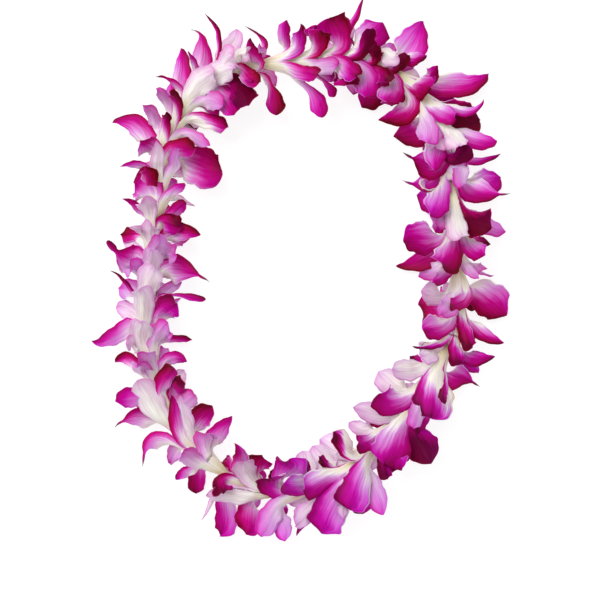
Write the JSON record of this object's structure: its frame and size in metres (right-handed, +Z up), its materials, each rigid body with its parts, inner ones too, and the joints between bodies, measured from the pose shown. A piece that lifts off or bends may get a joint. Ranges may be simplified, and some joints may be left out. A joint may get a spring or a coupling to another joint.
{
  "type": "fresh flower lei",
  "caption": "Closed garland of purple and white orchid blooms strung nose to tail on one knotted thread, worn round the neck or laid on a table.",
  "frame": {"origin": "under the middle of the lei's box, on the surface that it lies on", "axes": "+Z up, away from the surface; +Y along the loop's length; +X across it. Seen from above, the blooms open clockwise round the loop"},
  "size_m": [0.343, 0.441, 0.0617],
  "materials": {
    "orchid_bloom": "fresh orchid: cream throat, white petal bases running to vivid magenta, deeper crimson tips, soft satin sheen, fine veins",
    "cotton_thread": "undyed twisted cotton thread, matt"
  },
  "bodies": {
    "root": {"bloom_01": "orchid_bloom", "bloom_02": "orchid_bloom", "bloom_03": "orchid_bloom", "bloom_04": "orchid_bloom", "bloom_05": "orchid_bloom", "bloom_06": "orchid_bloom", "bloom_07": "orchid_bloom", "bloom_08": "orchid_bloom", "bloom_09": "orchid_bloom", "bloom_10": "orchid_bloom", "bloom_11": "orchid_bloom", "bloom_12": "orchid_bloom", "bloom_13": "orchid_bloom", "bloom_14": "orchid_bloom", "bloom_15": "orchid_bloom", "bloom_16": "orchid_bloom", "bloom_17": "orchid_bloom", "bloom_18": "orchid_bloom", "bloom_19": "orchid_bloom", "bloom_20": "orchid_bloom", "bloom_21": "orchid_bloom", "bloom_22": "orchid_bloom", "bloom_23": "orchid_bloom", "bloom_24": "orchid_bloom", "bloom_25": "orchid_bloom", "bloom_26": "orchid_bloom", "bloom_27": "orchid_bloom", "bloom_28": "orchid_bloom", "bloom_29": "orchid_bloom", "bloom_30": "orchid_bloom", "bloom_31": "orchid_bloom", "bloom_32": "orchid_bloom", "bloom_33": "orchid_bloom", "bloom_34": "orchid_bloom", "bloom_35": "orchid_bloom", "bloom_36": "orchid_bloom", "bloom_37": "orchid_bloom", "bloom_38": "orchid_bloom", "bloom_39": "orchid_bloom", "bloom_40": "orchid_bloom", "bloom_41": "orchid_bloom", "bloom_42": "orchid_bloom", "bloom_43": "orchid_bloom", "bloom_44": "orchid_bloom", "bloom_45": "orchid_bloom", "bloom_46": "orchid_bloom", "bloom_47": "orchid_bloom", "bloom_48": "orchid_bloom", "bloom_49": "orchid_bloom", "lei_thread": "cotton_thread"}
  },
  "joints": []
}
